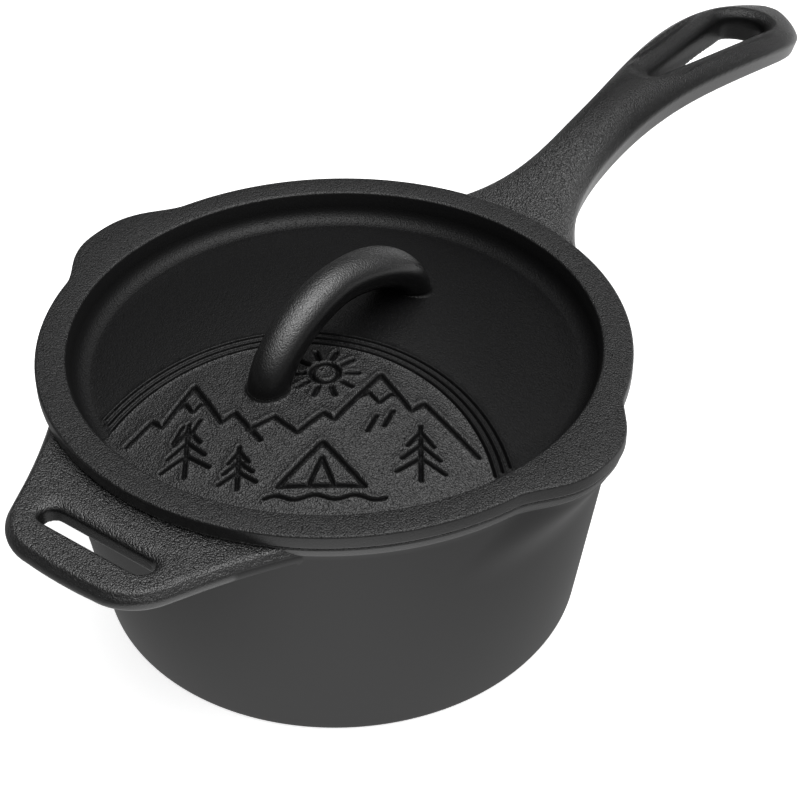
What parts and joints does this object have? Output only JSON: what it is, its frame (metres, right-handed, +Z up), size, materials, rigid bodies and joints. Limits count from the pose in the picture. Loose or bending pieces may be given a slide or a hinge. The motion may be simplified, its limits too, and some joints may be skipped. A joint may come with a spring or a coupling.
{
  "type": "lidded cast iron saucepan",
  "caption": "Cast-iron camp saucepan with a lift-off lid: tapered pan with side pour spouts, long slotted handle, slotted helper handle, and a sunk domed lid with an arched grip.",
  "frame": {"origin": "centre of the flat base, on the surface that the pan stands on", "axes": "+X along the long handle, +Z up, the two pour spouts towards +Y and -Y"},
  "size_m": [0.3747, 0.1854, 0.1082],
  "materials": {
    "pan_iron": "seasoned black sand-cast iron, smooth satin on the body, fine sand grain on the rim and handles",
    "lid_iron": "seasoned black sand-cast iron with a fine sand grain"
  },
  "bodies": {
    "pan": {"saucepan": "pan_iron"},
    "lid": {"lid": "lid_iron"}
  },
  "joints": [
    {"name": "lid_lift", "type": "slide", "parent": "pan", "child": "lid", "axis": [0, 0, 1], "range_m": [0, 0.12]}
  ]
}
